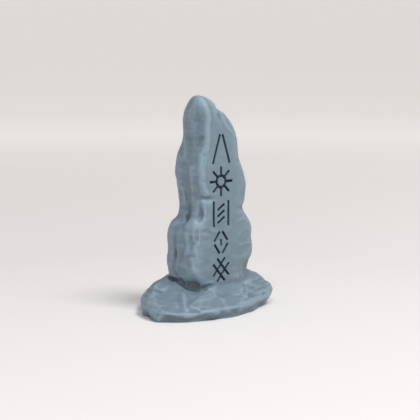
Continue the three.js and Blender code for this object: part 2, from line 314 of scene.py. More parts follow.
@dataclass(frozen=True)
class Flakes(Grain):
    """Shallow scoops in space that meet in crisp ridges, as where blows have broken rock.

    Attributes:
        scoop: How curved each scoop is.
        crisp: How sharply two scoops meet.
        level: The middle height of the scoops, which is taken off.
    """

    step: float = 0.3
    scoop: float = 0.8
    crisp: float = 22.0
    level: float = -0.12

    def height(self, points: np.ndarray) -> np.ndarray:
        """Works out how far the scoops and their ridges stand in or out.

        Args:
            points: Places in mm, one a row.

        Returns:
            A height for each place, of about -0.5 to 1.
        """
        total = np.zeros(len(points))
        for away, plane in self.planes(points):
            total += np.exp(-self.crisp * (plane + self.scoop * away))
        return -np.log(total) / self.crisp - self.level


def skin_faces(rings: int, sectors: int) -> list[tuple[int, ...]]:
    """Lists the faces of a closed skin: a point, rings of points, and a point, wound to face out.

    Args:
        rings: How many rings there are.
        sectors: How many points each ring has.

    Returns:
        Faces as tuples of point numbers. Point 0 is the bottom, the last is the top.
    """

    def at(ring: int, sector: int) -> int:
        """Numbers a point of a ring."""
        return 1 + ring * sectors + sector % sectors

    faces: list[tuple[int, ...]] = []
    top = 1 + rings * sectors
    for s in range(sectors):
        faces.append((0, at(0, s + 1), at(0, s)))
        faces.extend((at(r, s), at(r, s + 1), at(r + 1, s + 1), at(r + 1, s)) for r in range(rings - 1))
        faces.append((at(rings - 1, s), at(rings - 1, s + 1), top))
    return faces


def new_object(name: str, points: np.ndarray, faces: list[tuple[int, ...]]) -> bpy.types.Object:
    """Makes a mesh object from points and faces.

    Args:
        name: The object's name.
        points: Its points, one a row.
        faces: Its faces.

    Returns:
        The linked object.
    """
    mesh = bpy.data.meshes.new(name)
    mesh.from_pydata(points.tolist(), [], faces)
    mesh.update()
    made = bpy.data.objects.new(name, mesh)
    bpy.context.scene.collection.objects.link(made)
    return made


def baked(piece: bpy.types.Object) -> bpy.types.Object:
    """Turns a piece's modifiers into its plain mesh.

    Args:
        piece: The object to finish.

    Returns:
        The same object with no modifiers.
    """
    graph = bpy.context.evaluated_depsgraph_get()
    plain = bpy.data.meshes.new_from_object(piece.evaluated_get(graph))
    old = piece.data
    piece.modifiers.clear()
    piece.data = plain
    bpy.data.meshes.remove(old)
    return piece


def combined(
    piece: bpy.types.Object, other: bpy.types.Object, how: Cut, crossing: bool = False
) -> bpy.types.Object:
    """Joins, cuts or trims one closed piece by another, which is then removed.

    Args:
        piece: The piece that stays.
        other: The piece that acts on it.
        how: What the other does.
        crossing: Whether either piece crosses itself, which takes the slower way.

    Returns:
        The changed piece.
    """
    act = piece.modifiers.new(how.name.lower(), "BOOLEAN")
    act.operation = how.value
    act.solver = "EXACT" if crossing else "MANIFOLD"
    act.use_self = crossing
    act.object = other
    baked(piece)
    mesh = other.data
    bpy.data.objects.remove(other)
    bpy.data.meshes.remove(mesh)
    return piece


def points_of(mesh: bpy.types.Mesh) -> np.ndarray:
    """Reads a mesh's points as an array, one a row."""
    flat = np.zeros(len(mesh.vertices) * 3)
    mesh.vertices.foreach_get("co", flat)
    return flat.reshape(-1, 3)


def normals_of(mesh: bpy.types.Mesh) -> np.ndarray:
    """Reads the directions that a mesh's points face, one a row."""
    flat = np.zeros(len(mesh.vertices) * 3)
    mesh.vertex_normals.foreach_get("vector", flat)
    return flat.reshape(-1, 3)


def set_points(mesh: bpy.types.Mesh, points: np.ndarray) -> None:
    """Moves a mesh's points to new places."""
    mesh.vertices.foreach_set("co", points.astype(np.float32).ravel())
    mesh.update()


def set_attribute(mesh: bpy.types.Mesh, name: str, values: np.ndarray) -> None:
    """Stores one number for each of a mesh's points under a name."""
    attribute = mesh.attributes.new(name, "FLOAT", "POINT")
    attribute.data.foreach_set("value", values.astype(np.float32))


def spread(mesh: bpy.types.Mesh, values: np.ndarray, rounds: int) -> np.ndarray:
    """Evens out values over a mesh: in each round a point takes the middle of its neighbours'.

    Args:
        mesh: The mesh.
        values: Values, one row a point.
        rounds: How often.

    Returns:
        The evened values.
    """
    pairs = np.zeros(len(mesh.edges) * 2, int)
    mesh.edges.foreach_get("vertices", pairs)
    one, two = pairs.reshape(-1, 2).T
    size = len(values)
    count = np.maximum(np.bincount(one, minlength=size) + np.bincount(two, minlength=size), 1)
    ways = ((one, two), (two, one))
    for _ in range(rounds):
        sums = [sum(np.bincount(to, column[by], size) for to, by in ways) for column in values.T]
        values = np.stack(sums, axis=1) / count[:, None]
    return values


class Value:
    """A number socket that shader maths can be written with."""

    def __init__(self, tree: bpy.types.NodeTree, socket: bpy.types.NodeSocket) -> None:
        """Wraps a socket of a tree."""
        self.tree = tree
        self.socket = socket

    def math(self, operation: str, first: object, second: object = 0.0) -> "Value":
        """Adds a Math node.

        Args:
            operation: The node's operation.
            first: Its first value or Value.
            second: Its second value or Value.

        Returns:
            The result as a Value.
        """
        node = self.tree.nodes.new("ShaderNodeMath")
        node.operation = operation
        for socket, item in zip(node.inputs, (first, second)):
            if isinstance(item, Value):
                self.tree.links.new(item.socket, socket)
            else:
                socket.default_value = float(item)
        return Value(self.tree, node.outputs[0])

    def __add__(self, other: object) -> "Value":
        """Adds."""
        return self.math("ADD", self, other)

    def __radd__(self, other: object) -> "Value":
        """Adds from the right."""
        return self.math("ADD", other, self)

    def __sub__(self, other: object) -> "Value":
        """Takes away."""
        return self.math("SUBTRACT", self, other)

    def __rsub__(self, other: object) -> "Value":
        """Takes away from a number."""
        return self.math("SUBTRACT", other, self)

    def __mul__(self, other: object) -> "Value":
        """Multiplies."""
        return self.math("MULTIPLY", self, other)

    def __rmul__(self, other: object) -> "Value":
        """Multiplies from the right."""
        return self.math("MULTIPLY", other, self)

    def limited(self) -> "Value":
        """Keeps it from 0 to 1."""
        return self.math("MINIMUM", self.math("MAXIMUM", self, 0.0), 1.0)


class Graph:
    """A node tree, with one way to add any node."""

    def __init__(self, tree: bpy.types.NodeTree) -> None:
        """Takes over a tree and empties it."""
        self.tree = tree
        self.tree.nodes.clear()

    def node(
        self, kind: str, settings: dict[str, object] | None = None, **sockets: object
    ) -> bpy.types.Node:
        """Adds a node.

        Args:
            kind: The node's type.
            settings: Its settings, which are set first.
            **sockets: Values or links for its inputs, by name with _ for a space, or by number after a _.

        Returns:
            The node.
        """
        made = self.tree.nodes.new(kind)
        for key, value in (settings or {}).items():
            setattr(made, key, value)
        for key, value in sockets.items():
            socket = made.inputs[int(key[1:]) if key[1:].isdigit() else key.replace("_", " ")]
            if isinstance(value, Value):
                self.tree.links.new(value.socket, socket)
            elif isinstance(value, bpy.types.NodeSocket):
                self.tree.links.new(value, socket)
            else:
                socket.default_value = value
        return made

    def value(self, socket: bpy.types.NodeSocket) -> Value:
        """Wraps a socket for maths."""
        return Value(self.tree, socket)


class Shader(Graph):
    """A material's node tree."""

    def __init__(self, name: str) -> None:
        """Makes an empty material of that name."""
        self.material = bpy.data.materials.new(name)
        self.material.use_nodes = True
        super().__init__(self.material.node_tree)

    def attribute(self, name: str) -> Value:
        """Reads one of the piece's own attributes."""
        return self.value(self.node("ShaderNodeAttribute", {"attribute_name": name}).outputs["Fac"])

    def noise(self, place: bpy.types.NodeSocket, scale: float, detail: float, roughness: float) -> Value:
        """Adds a noise pattern.

        Args:
            place: The coordinates it reads.
            scale: Its scale, per metre.
            detail: How many finer layers it has.
            roughness: How strong they are.

        Returns:
            The pattern, of about 0 to 1.
        """
        made = self.node("ShaderNodeTexNoise", Vector=place, Scale=scale, Detail=detail,
                         Roughness=roughness)
        return self.value(made.outputs["Fac"])

    def mix(self, share: object, first: object, second: object) -> bpy.types.NodeSocket:
        """Mixes two colours.

        Args:
            share: How much of the second there is.
            first: The first colour or its socket.
            second: The second colour or its socket.

        Returns:
            The mixed colour's socket.
        """
        made = self.node("ShaderNodeMix", {"data_type": "RGBA"}, _0=share, _6=first, _7=second)
        return made.outputs[2]

    def finished(self, **sockets: object) -> bpy.types.Material:
        """Adds the surface and the output.

        Args:
            **sockets: Values or links for the surface's inputs.

        Returns:
            The material.
        """
        body = self.node("ShaderNodeBsdfPrincipled", **sockets)
        self.node("ShaderNodeOutputMaterial", Surface=body.outputs["BSDF"])
        return self.material


@dataclass
class StandingStone:
    """The tall rough stone, lofted through soft sections whose sides follow outlines.

    Lengths are in mm. Hollows are in shares of its size, from the middle of its foot.

    Attributes:
        set_x: How far its middle stands from the mound's in x.
        set_y: The same in y.
        foot: How high its lowest section is, inside the mound.
        roughness: How far its facets stand in or out.
        panel_smoothness: How much of the roughness the flat front loses.
        panel_ease: How far behind the front all of it is back.
        edge_sharpness: How sharp the edges between its sides are.
        outline_softness: Over what share of the height an outline's corner is eased.
        knob_start: The height share where the rounded summit starts.
        least_reach: How near a side may come to the spine.
        level_crowding: How evenly the sections close up towards the summit.
        spine: The line that sections are measured from, as height, x and y in shares.
    """

    total_height: float = 150.0
    width: float = 52.0
    thickness: float = 29.0
    set_x: float = 3.0
    set_y: float = -1.5
    foot: float = 10.0
    roughness: float = 1.5
    grain: Grain = Grain((13.0, 13.0, 21.0), 0)
    panel_smoothness: float = 0.94
    panel_ease: float = 18.0
    edge_sharpness: float = 22.0
    outline_softness: float = 0.01
    knob_start: float = 0.915
    least_reach: float = 0.3
    level_crowding: float = 0.9
    sectors: int = 260
    levels: int = 220
    spine: tuple[tuple[float, float, float], ...] = (
        (0, 0.03, 0), (0.55, 0.03, 0), (0.82, -0.1, -0.07), (0.93, -0.24, -0.14), (1, -0.28, -0.16),
    )
    hollows: tuple[Hollow, ...] = (
        Hollow((-0.337, -0.328, 0.827), (0.096, 0.155, 0.1), 1.2),  # scoop behind the ridge
        Hollow((-0.365, -0.397, 0.807), (0.058, 0.103, 0.02), 1.3),  # pit by the ridge
        Hollow((-0.423, 0.017, 0.447), (0.096, 0.155, 0.107), 2.6),  # valley down the left
        Hollow((-0.538, 0.155, 0.287), (0.096, 0.097, 0.073), 1.2),  # crease low on the left
        Hollow((-0.308, -0.5, 0.537), (0.115, 0.138, 0.012), 1.6),  # ledge crack
        Hollow((-0.442, -0.397, 0.443), (0.096, 0.138, 0.024), 1.6),  # chamfer hollow
        Hollow((-0.538, -0.397, 0.13), (0.154, 0.241, 0.02), 2.0),  # left foot
        Hollow((0.481, -0.397, 0.18), (0.135, 0.207, 0.053), 4.6),  # right foot notch
        Hollow((-0.019, -0.431, 0.913), (0.067, 0.276, 0.024), 1.6),  # shoulder crease
        Hollow((0.5, 0.12, 0.54), (0.13, 0.16, 0.1), 2.6),  # valley down the right
        Hollow((0.6, 0.16, 0.335), (0.16, 0.42, 0.013), 2.0),  # ledge low on the right
        Hollow((0.34, 0.2, 0.77), (0.12, 0.13, 0.08), 2.4),  # cleft by the right shoulder
        Hollow((0.13, 0.58, 0.4), (0.07, 0.2, 0.13), 2.4),  # cleft down the back
        Hollow((-0.12, 0.58, 0.61), (0.26, 0.22, 0.013), 2.0),  # ledge across the back
        Hollow((-0.27, 0.5, 0.24), (0.1, 0.2, 0.07), 2.2),  # hollow low on the back
    )

    @property
    def front(self) -> float:
        """The y of the flat front, in mm."""
        return self.set_y - self.thickness / 2

    @property
    def size(self) -> np.ndarray:
        """What the shares of its hollows are shares of, in mm."""
        return np.array([self.width, self.thickness, self.total_height])

    def sides(self) -> tuple[Side, ...]:
        """Lists the stone's sides round it.

        Returns:
            The sides with their outlines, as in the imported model's source.
        """
        wide, thick = self.width, self.thickness
        return (
            Side(-90, thick, ((0, 0.5), (0.9, 0.5), (1, 0.46))),  # front
            Side(-68, wide, (  # panel shoulder
                (0, 0.4), (0.24, 0.43), (0.38, 0.43), (0.47, 0.37), (0.6, 0.385), (0.72, 0.355),
                (0.79, 0.34), (0.84, 0.305), (0.89, 0.268), (0.94, 0.23),
            )),
            Side(-40, wide, (  # right front
                (0, 0.49), (0.19, 0.55), (0.22, 0.555), (0.25, 0.61), (0.28, 0.617), (0.31, 0.595),
                (0.38, 0.59), (0.41, 0.56), (0.45, 0.46), (0.47, 0.445), (0.53, 0.485), (0.58, 0.502),
                (0.63, 0.475), (0.7, 0.385), (0.8, 0.38), (0.83, 0.355), (0.89, 0.262), (0.925, 0.175),
                (0.935, 0.1), (1, 0.1),
            )),
            Side(0, wide, (  # right
                (0, 0.55), (0.24, 0.63), (0.37, 0.615), (0.43, 0.52), (0.47, 0.47), (0.57, 0.52),
                (0.64, 0.47), (0.71, 0.365), (0.8, 0.335), (0.87, 0.24), (0.925, 0.12), (0.94, -0.04),
            )),
            Side(48, wide, (  # right back
                (0, 0.48), (0.3, 0.5), (0.43, 0.42), (0.56, 0.46), (0.7, 0.36), (0.84, 0.24),
                (0.92, 0.07), (0.95, -0.04),
            )),
            Side(90, thick, (  # back
                (0, 0.54), (0.3, 0.6), (0.42, 0.52), (0.58, 0.6), (0.72, 0.54), (0.82, 0.42),
                (0.9, 0.26), (0.95, 0.16),
            )),
            Side(140, wide, (  # left back
                (0, 0.53), (0.17, 0.56), (0.24, 0.588), (0.29, 0.565), (0.34, 0.575), (0.38, 0.565),
                (0.41, 0.528), (0.435, 0.455), (0.46, 0.43), (0.49, 0.42), (0.55, 0.43), (0.63, 0.469),
                (0.67, 0.46), (0.73, 0.425), (0.785, 0.352), (0.81, 0.34), (0.89, 0.342), (0.94, 0.324),
            )),
            Side(180, wide, (  # left
                (0, 0.46), (0.13, 0.48), (0.17, 0.53), (0.22, 0.555), (0.27, 0.53), (0.32, 0.55),
                (0.37, 0.545), (0.415, 0.49), (0.44, 0.41), (0.48, 0.375), (0.54, 0.372), (0.6, 0.4),
                (0.66, 0.418), (0.71, 0.4), (0.76, 0.36), (0.8, 0.345), (0.93, 0.35),
            )),
            Side(-165, wide, (  # left front
                (0, 0.62), (0.42, 0.6), (0.455, 0.43), (0.49, 0.415), (0.547, 0.388), (0.589, 0.41),
                (0.657, 0.436), (0.717, 0.436), (0.748, 0.42), (0.777, 0.37), (0.837, 0.36),
                (0.883, 0.352), (0.919, 0.37), (1, 0.37),
            )),
            Side(-135, wide, (  # lit ridge
                (0, 0.44), (0.12, 0.45), (0.15, 0.475), (0.2, 0.525), (0.3, 0.5), (0.34, 0.475),
                (0.4, 0.475), (0.43, 0.44), (0.455, 0.415), (0.5, 0.42), (0.527, 0.437), (0.545, 0.405),
                (0.59, 0.425), (0.65, 0.445), (0.7, 0.43), (0.74, 0.4), (0.78, 0.388), (0.94, 0.378),
            )),
        )

    def eased(self, line: tuple[tuple[float, ...], ...], share: float, column: int) -> float:
        """Reads a line of points at a height share, with its corners eased.

        Args:
            line: Points that start with a height share.
            share: The height share to read at.
            column: Which number of each point to read.

        Returns:
            The eased value.
        """
        steps = share + np.array([-1.0, -0.5, 0.0, 0.5, 1.0]) * self.outline_softness
        return float(np.interp(steps, [p[0] for p in line], [p[column] for p in line]).mean())

    def spine_at(self, share: float) -> np.ndarray:
        """Gives the point that a section is measured from, at a height share."""
        x, y = (self.eased(self.spine, share, column) for column in (1, 2))
        return np.array([x * self.width, y * self.thickness, 0.0])

    def ring(self, height: float) -> np.ndarray:
        """Makes the points round the stone at one height.

        Args:
            height: The height in mm.

        Returns:
            The ring's points in mm, one a row.
        """
        share = height / self.total_height
        spine = self.spine_at(share)
        sides = self.sides()
        facings = np.array([facing_way(side.facing) for side in sides])
        up = min(max((share - self.knob_start) / (1 - self.knob_start), 0.0), 1.0)
        crown = math.sqrt(1.0 - up * up)
        reaches = np.array([self.eased(side.outline, share, 1) * side.size for side in sides])
        reaches = np.maximum(crown * (reaches - facings @ spine), self.least_reach)
        turns = turns_of(self.sectors)
        ways = np.stack([np.cos(turns), np.sin(turns), np.zeros(self.sectors)], axis=1)
        places = spine + ways * soft_reach(ways, facings, reaches, self.edge_sharpness)[:, None]
        places[:, 2] = height
        behind = np.clip((places[:, 1] + self.thickness / 2) / self.panel_ease, 0.0, 1.0)
        rough = self.roughness * (1.0 - self.panel_smoothness * (1.0 - behind))
        hollow = hollow_depth(places / self.size, self.hollows)
        places += ways * (rough * self.grain.height(places) - hollow)[:, None]
        return places + [self.set_x, self.set_y, 0.0]

    def build(self) -> bpy.types.Object:
        """Builds the closed stone.

        Returns:
            The stone's object, in mm.
        """
        shares = (np.arange(self.levels) + 0.5) / self.levels
        rises = np.sin(shares * math.pi / 2) ** self.level_crowding
        rings = [self.ring(self.foot + (self.total_height - self.foot) * rise) for rise in rises]
        top = self.spine_at(1.0) + [self.set_x, self.set_y, self.total_height]
        bottom = np.array([self.set_x, self.set_y, self.foot])
        points = np.vstack([bottom[None], *rings, top[None]])
        return new_object("stone", points, skin_faces(self.levels, self.sectors))


@dataclass
class RockMound:
    """The low mound under the stone, a soft block of flat facets round a core.

    Lengths are in mm. Facets and hollows are in shares of its half length, half depth and height.

    Attributes:
        core: How high the point is that the facets are reached from.
        edge_sharpness: How sharp the edges between facets are.
        ring_crowding: How the rings of points gather round the core's level; less is closer.
    """

    length: float = 105.0
    depth: float = 73.0
    height: float = 25.0
    core: float = 6.0
    edge_sharpness: float = 70.0
    roughness: float = 1.4
    grain: Grain = Grain((15.0, 13.0, 9.0), 20)
    ring_crowding: float = 0.35
    sectors: int = 340
    rings: int = 130
    facets: tuple[Facet, ...] = (
        Facet(167, 3, (-1.035, -0.22, 0.12)),  # left rim
        Facet(-132, -6, (-0.885, -0.72, 0.12)),  # left front rim
        Facet(-108, -8, (-0.54, -0.98, 0.1)),  # front left rim
        Facet(-90, 4, (-0.2, -1.035, 0.1)),  # front rim
        Facet(-70, 6, (0.2, -0.935, 0.12)),  # front right rim
        Facet(-60, -8, (0.8, -0.53, 0.1)),  # right front rim
        Facet(-20, 6, (1.02, -0.24, 0.3)),  # right end
        Facet(-28, -16, (0.955, -0.28, 0.06)),  # right end foot
        Facet(45, 4, (0.7, 0.66, 0.12)),  # right back rim
        Facet(92, 3, (0, 0.98, 0.12)),  # back rim
        Facet(140, 8, (-0.67, 0.81, 0.12)),  # left back rim
        Facet(146, 34, (-0.64, 0.78, 0.31)),  # left back slope
        Facet(138, 50, (-0.57, 0.69, 0.6)),  # left back top
        Facet(134, 62, (-0.43, 0.53, 0.84)),  # left back crown
        Facet(-176, 40, (-0.97, -0.15, 0.42)),  # left end slope
        Facet(-150, 68, (-0.476, -0.164, 0.79)),  # left front top
        Facet(-118, 60, (-0.42, -0.41, 0.745)),  # lit facet
        Facet(-92, 62, (0, -0.93, 0.37)),  # front slope
        Facet(-66, 42, (0.686, -0.38, 0.65)),  # front right slope
        Facet(-15, 54, (0.975, -0.25, 0.63)),  # right crest
        Facet(40, 54, (0.64, 0.64, 0.6)),  # right back top
        Facet(84, 52, (0.1, 0.85, 0.5)),  # back slope
        Facet(0, 90, (0, 0, 1.02)),  # crown
        Facet(0, -90, (0, 0, -0.3)),  # under
    )
    hollows: tuple[Hollow, ...] = (
        Hollow((0.419, -0.712, 0.42), (0.114, 0.137, 0.072), 1.8),  # slot in the slope
        Hollow((-0.286, -1.014, 0.2), (0.076, 0.11, 0.24), 1.4),  # front rim hollow
    )

    def places(self, ways: np.ndarray) -> np.ndarray:
        """Finds the mound's surface along directions from its core.

        Args:
            ways: Unit vectors, one a row.

        Returns:
            The points in mm, one a row.
        """
        core = np.array([0.0, 0.0, self.core])
        size = np.array([self.length / 2, self.depth / 2, self.height])
        facings = np.array([facing_way(facet.facing, facet.tilt) for facet in self.facets])
        through = np.array([facet.through for facet in self.facets]) * size - core
        reaches = (through * facings).sum(axis=1)
        found = core + ways * soft_reach(ways, facings, reaches, self.edge_sharpness)[:, None]
        moved = self.roughness * self.grain.height(found) - hollow_depth(found / size, self.hollows)
        return found + ways * moved[:, None]

    def build(self) -> bpy.types.Object:
        """Builds the closed mound, which goes on below the ground.

        Returns:
            The mound's object, in mm.
        """
        turns = turns_of(self.sectors)
        ways = [np.array([[0.0, 0.0, -1.0]])]
        for ring in range(1, self.rings):
            rise = math.atan(math.tan((ring / self.rings - 0.5) * math.pi) * self.ring_crowding)
            level, up = math.cos(rise), np.full(self.sectors, math.sin(rise))
            ways.append(np.stack([level * np.cos(turns), level * np.sin(turns), up], axis=1))
        ways.append(np.array([[0.0, 0.0, 1.0]]))
        points = self.places(np.vstack(ways))
        return new_object("mound", points, skin_faces(self.rings - 1, self.sectors))


@dataclass
class CutSigns:
    """The column of signs, each stroke a bar that cuts into the flat front.

    Attributes:
        stroke_width: How wide a stroke is, in mm.
        stroke_depth: How deep it goes, in mm.
        size: What the signs' widths and heights are shares of, in mm.
        column_x: The x of the column's middle, in mm.
        ray_start: Where the rays start, as a share of where they end.
        ring_size: The ring's radius as a share of the size.
        tick_spacing: How far apart the slanting ticks are, in shares as a stroke's ends are.
        tick_reach: Half their length across, likewise.
        tick_rise: Half their rise, likewise.
        wall_slack: How far off a wall a point still counts as on it, in mm.
        floor_slack: The same for the floor.
        end_slack: The same past a stroke's ends, as a share of its length.
    """

    stroke_width: float = 1.9
    stroke_depth: float = 2.4
    size: float = 7.0
    column_x: float = 1.4
    rays: int = 8
    ray_start: float = 0.4
    ring_size: float = 0.585
    ring_sides: int = 64
    ticks: int = 3
    tick_spacing: float = 0.56
    tick_reach: float = 0.36
    tick_rise: float = 0.2
    wall_slack: float = 0.02
    floor_slack: float = 0.1
    end_slack: float = 0.2

    def signs(self) -> tuple[Sign, ...]:
        """Lists the signs from the top down.

        Returns:
            The signs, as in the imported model's source.
        """
        start = self.ray_start
        rays = tuple((start * math.cos(a), start * math.sin(a), math.cos(a), math.sin(a))
                     for a in turns_of(self.rays))
        levels = [(i - (self.ticks - 1) / 2) * self.tick_spacing for i in range(self.ticks)]
        reach, rise = self.tick_reach, self.tick_rise
        ticks = tuple((-reach, level - rise, reach, level + rise) for level in levels)
        return (
            Sign(0.756, 1.06, 1.31, ((-0.95, -1, -0.17, 1), (1, -1, 0.2, 1))),  # leaning pair
            Sign(0.607, 1.34, 1.34, rays, ring=self.ring_size * self.size),  # rayed ring
            Sign(0.459, 0.94, 1.14, ((-1, -1, -1, 1), (1, -1, 1, 1), *ticks)),  # posts and ticks
            Sign(0.325, 0.885, 1.0, (  # open lozenge
                (-0.9, 0.24, -0.28, 1), (0.28, 1, 0.9, 0.24), (-0.9, -0.24, -0.28, -1),
                (0.9, -0.24, 0.28, -1), (0, -0.2, 0, 0.2),
            )),
            Sign(0.198, 0.94, 1.06, (  # crossed pairs
                (-1, -0.5, 0.45, 1), (-0.45, -1, 1, 0.5), (-1, 0.5, 0.45, -1), (-0.45, 1, 1, -0.5),
            )),
        )

    def strokes(self, total_height: float) -> np.ndarray:
        """Lists every stroke in mm.

        Args:
            total_height: The stone's height in mm.

        Returns:
            Rows of x, z, x, z from end to end.
        """
        rows = []
        for sign in self.signs():
            scale = np.array([sign.wide, sign.tall, sign.wide, sign.tall]) * self.size
            middle = [self.column_x, sign.height * total_height] * 2
            rows.extend(np.array(stroke) * scale + middle for stroke in sign.strokes)
        return np.array(rows)

    def tree(self) -> bpy.types.NodeTree:
        """Builds the node tree that sets one bar on each stroke's middle point.

        Returns:
            A geometry tree with the bars' width, depth and material as named inputs.
        """
        tree = bpy.data.node_groups.new("stroke bars", "GeometryNodeTree")
        face = tree.interface
        face.new_socket("Geometry", in_out="INPUT", socket_type="NodeSocketGeometry")
        for name, size in (("Stroke Width", self.stroke_width), ("Stroke Depth", self.stroke_depth)):
            face.new_socket(name, in_out="INPUT", socket_type="NodeSocketFloat").default_value = size
        face.new_socket("Cut Finish", in_out="INPUT", socket_type="NodeSocketMaterial")
        face.new_socket("Geometry", in_out="OUTPUT", socket_type="NodeSocketGeometry")
        graph = Graph(tree)
        inputs = graph.node("NodeGroupInput").outputs
        width, depth = (graph.value(inputs[name]) for name in ("Stroke Width", "Stroke Depth"))
        length = graph.node("GeometryNodeInputNamedAttribute", Name="length")
        angle = graph.node("GeometryNodeInputNamedAttribute", Name="angle")
        reach = graph.value(length.outputs["Attribute"]) + width
        turn = graph.node("ShaderNodeCombineXYZ", Y=angle.outputs["Attribute"])
        scale = graph.node("ShaderNodeCombineXYZ", X=reach, Y=depth * 2.0, Z=width)
        cube = graph.node("GeometryNodeMeshCube")
        bars = graph.node("GeometryNodeInstanceOnPoints", Points=inputs["Geometry"],
                          Instance=cube.outputs["Mesh"], Rotation=turn.outputs[0], Scale=scale.outputs[0])
        real = graph.node("GeometryNodeRealizeInstances", Geometry=bars.outputs["Instances"])
        finish = graph.node("GeometryNodeSetMaterial", Geometry=real.outputs["Geometry"],
                            Material=inputs["Cut Finish"])
        graph.node("NodeGroupOutput", Geometry=finish.outputs["Geometry"])
        return tree

    def bars(self, total_height: float, front: float, finish: bpy.types.Material) -> bpy.types.Object:
        """Builds the bars that cut the straight strokes.

        Args:
            total_height: The stone's height in mm.
            front: The y of the flat front, in mm.
            finish: The material of what they cut.

        Returns:
            The bars as one object, in mm.
        """
        strokes = self.strokes(total_height)
        run = strokes[:, 2:] - strokes[:, :2]
        middles = (strokes[:, 2:] + strokes[:, :2]) / 2
        made = new_object("stroke bars", np.insert(middles, 1, front, axis=1), [])
        set_attribute(made.data, "length", np.hypot(*run.T))
        set_attribute(made.data, "angle", -np.arctan2(run[:, 1], run[:, 0]))
        tree = self.tree()
        act = made.modifiers.new("bars", "NODES")
        act.node_group = tree
        keys = {item.name: item.identifier for item in tree.interface.items_tree if item.in_out == "INPUT"}
        act[keys["Stroke Width"]] = self.stroke_width
        act[keys["Stroke Depth"]] = self.stroke_depth
        act[keys["Cut Finish"]] = finish
        return baked(made)

    def tubes(self, total_height: float, front: float) -> list[bpy.types.Object]:
        """Builds the short tubes that cut the rings.

        Args:
            total_height: The stone's height in mm.
            front: The y of the flat front, in mm.

        Returns:
            One object for each ring, in mm.
        """
        made = []
        for sign in (sign for sign in self.signs() if sign.ring):
            corners = [(sign.ring + u * self.stroke_width / 2, front + v * self.stroke_depth)
                       for u, v in ((1, -1), (1, 1), (-1, 1), (-1, -1))]
            middle = np.array([self.column_x, 0.0, sign.height * total_height])
            points = [middle + [r * math.cos(a), y, r * math.sin(a)]
                      for a in turns_of(self.ring_sides) for r, y in corners]
            count = len(points)
            faces = [tuple((4 * i + k) % count for k in (c, (c + 1) % 4, (c + 1) % 4 + 4, c + 4))
                     for i in range(self.ring_sides) for c in range(4)]
            made.append(new_object("ring tube", np.array(points), faces))
        return made

    def covers(self, points: np.ndarray, total_height: float, front: float) -> np.ndarray:
        """Tells which points lie on a stroke's walls or floor.

        Args:
            points: Points in mm, one a row.
            total_height: The stone's height in mm.
            front: The y of the flat front, in mm.

        Returns:
            1 for those in a stroke and 0 for the rest.
        """
        reach = self.stroke_width / 2 + self.wall_slack
        flat = points[:, [0, 2]]
        inside = np.zeros(len(points), bool)
        for x0, z0, x1, z1 in self.strokes(total_height):
            start, run = np.array([x0, z0]), np.array([x1 - x0, z1 - z0])
            along = ((flat - start) @ run) / (run @ run)
            off = flat - start - np.clip(along, -self.end_slack, 1.0 + self.end_slack)[:, None] * run
            inside |= np.hypot(*off.T) < reach
        for sign in (sign for sign in self.signs() if sign.ring):
            middle = [self.column_x, sign.height * total_height]
            inside |= np.abs(np.hypot(*(flat - middle).T) - sign.ring) < reach
        return (inside & (points[:, 1] < front + self.stroke_depth + self.floor_slack)).astype(float)


